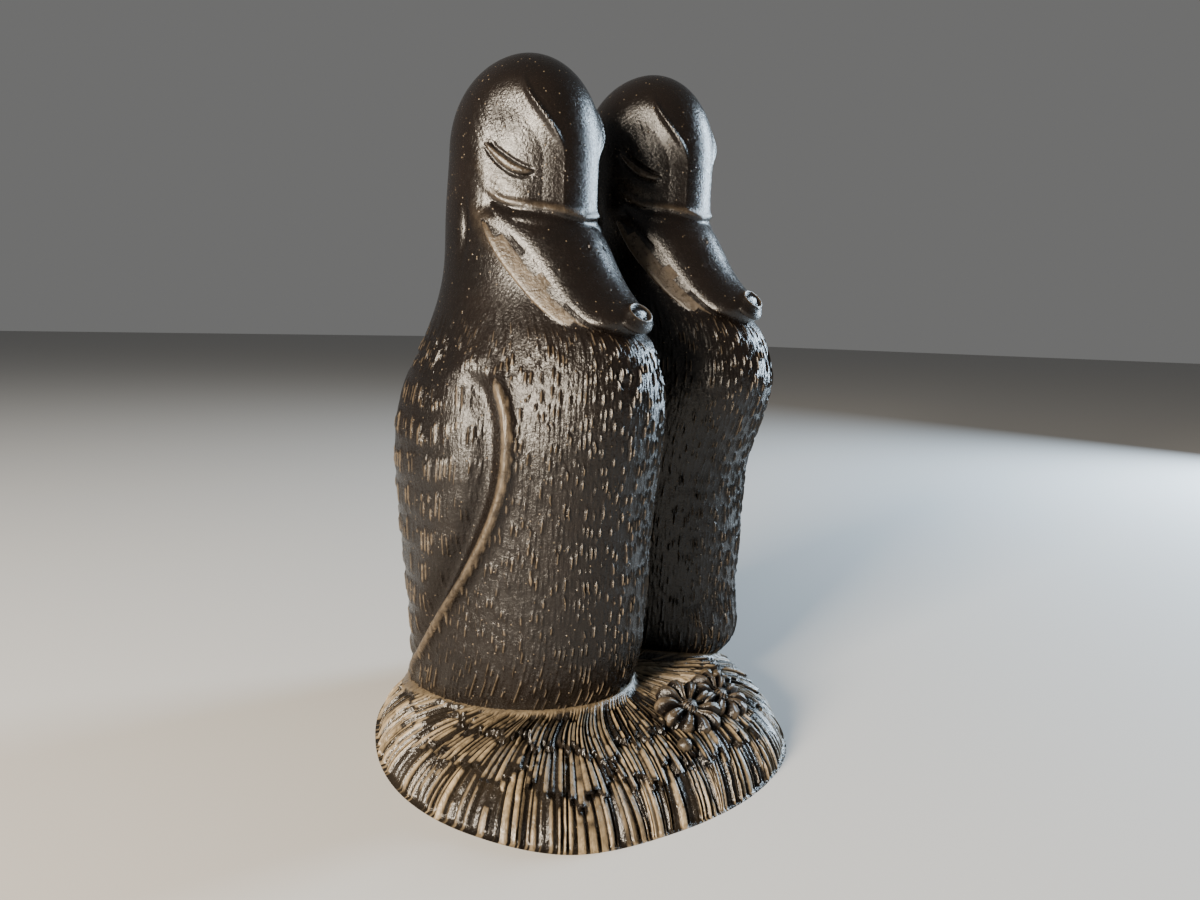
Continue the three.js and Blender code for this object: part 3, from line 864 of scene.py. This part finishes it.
# ---- The carving ----
BLACK = (0.0035, 0.0026, 0.0022)
# On the ducklings the brown and pale ridge colours are partly wear and mostly painted highlight on the
# strokes' crests.
waxed = soapstone(
    "waxed_soapstone", BLACK, wear_and_highlight=(0.012, 0.0075, 0.005), dust_and_highlight=(0.17, 0.13, 0.085),
    ridge_lightening=0.75, pebble_size=1.0, fleck_share=0.13, gloss=0.36,
)
# On the grass the pale crest colour is painted highlight, with real dust where the grass meets the feet.
dusty_highlit = soapstone(
    "dusty_highlit_soapstone", BLACK, wear_and_highlight=(0.05, 0.037, 0.022), dust_and_highlight=(0.27, 0.205, 0.125),
    ridge_lightening=1.0, pebble_size=1.2, fleck_share=0.05, gloss=0.4,
)
buds = [(bud(*place_at), "UNION") for place_at in BUDS]
pieces = [duckling(NEAR), duckling(FAR), joined("grass_mound", mound(), buds)]
for number, (around, share, radius) in enumerate(DAISIES):
    pieces.append(joined(f"daisy_{number + 1}", daisy(around, share, radius), []))
for piece in pieces:
    piece.data.materials.append(dusty_highlit if piece.name == "grass_mound" else waxed)
    piece.data.polygons.foreach_set("material_index", np.zeros(len(piece.data.polygons), int))
    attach(piece, "root")
    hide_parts(NODE)


# ---- Studio ----
def plain_material(name, colour, roughness):
    material = bpy.data.materials.new(name)
    material.use_nodes = True
    shader = material.node_tree.nodes["Principled BSDF"]
    shader.inputs["Base Color"].default_value = (*colour, 1.0)
    shader.inputs["Roughness"].default_value = roughness
    return material


def floor():
    bm = bmesh.new()
    bmesh.ops.create_grid(bm, x_segments=1, y_segments=1, size=4.0)
    mesh = bpy.data.meshes.new("studio_floor")
    bm.to_mesh(mesh)
    bm.free()
    piece = bpy.data.objects.new("studio_floor", mesh)
    bpy.context.scene.collection.objects.link(piece)
    mesh.materials.append(plain_material("floor_paper", (0.44, 0.435, 0.425), 0.85))


def softbox(name, place_at, aim, size, power, colour):
    light = bpy.data.lights.new(name, "AREA")
    light.shape = "RECTANGLE"
    light.size, light.size_y = size
    light.energy = power
    light.color = colour
    lamp = bpy.data.objects.new(name, light)
    lamp.location = place_at
    lamp.rotation_euler = (Vector(aim) - Vector(place_at)).to_track_quat("-Z", "Y").to_euler()
    bpy.context.scene.collection.objects.link(lamp)


def camera():
    ahead = Vector((0.766, 0.643, 0.0))
    right = Vector((0.643, -0.766, 0.0))
    pitch, roll = np.radians(7.8), np.radians(1.55)
    forward = ahead * np.cos(pitch) + Vector((0, 0, -np.sin(pitch)))
    level_up = ahead * np.sin(pitch) + Vector((0, 0, np.cos(pitch)))
    across = right * np.cos(roll) + level_up * np.sin(roll)
    up = level_up * np.cos(roll) - right * np.sin(roll)
    lens = bpy.data.cameras.new("view")
    lens.sensor_width = 36.0
    lens.lens = 27.03
    lens.clip_start = 0.01
    eye = bpy.data.objects.new("view", lens)
    turn = Matrix((across, up, -forward)).transposed().to_4x4()
    eye.matrix_world = Matrix.Translation((-0.1366, -0.1156, 0.080)) @ turn
    bpy.context.scene.collection.objects.link(eye)
    bpy.context.scene.camera = eye


floor()
camera()
softbox("key_light", (-0.64, -0.07, 0.2), (0, 0, 0.07), (0.2, 0.2), 24.0, (1.0, 0.87, 0.7))
softbox("rim_light", (0.55, -0.16, 0.22), (0, 0, 0.07), (0.12, 0.4), 9.0, (0.66, 0.83, 1.0))
world = bpy.data.worlds.new("studio")
world.use_nodes = True
world.node_tree.nodes["Background"].inputs["Color"].default_value = (0.8, 0.8, 0.79, 1.0)
world.node_tree.nodes["Background"].inputs["Strength"].default_value = 0.2
bpy.context.scene.world = world
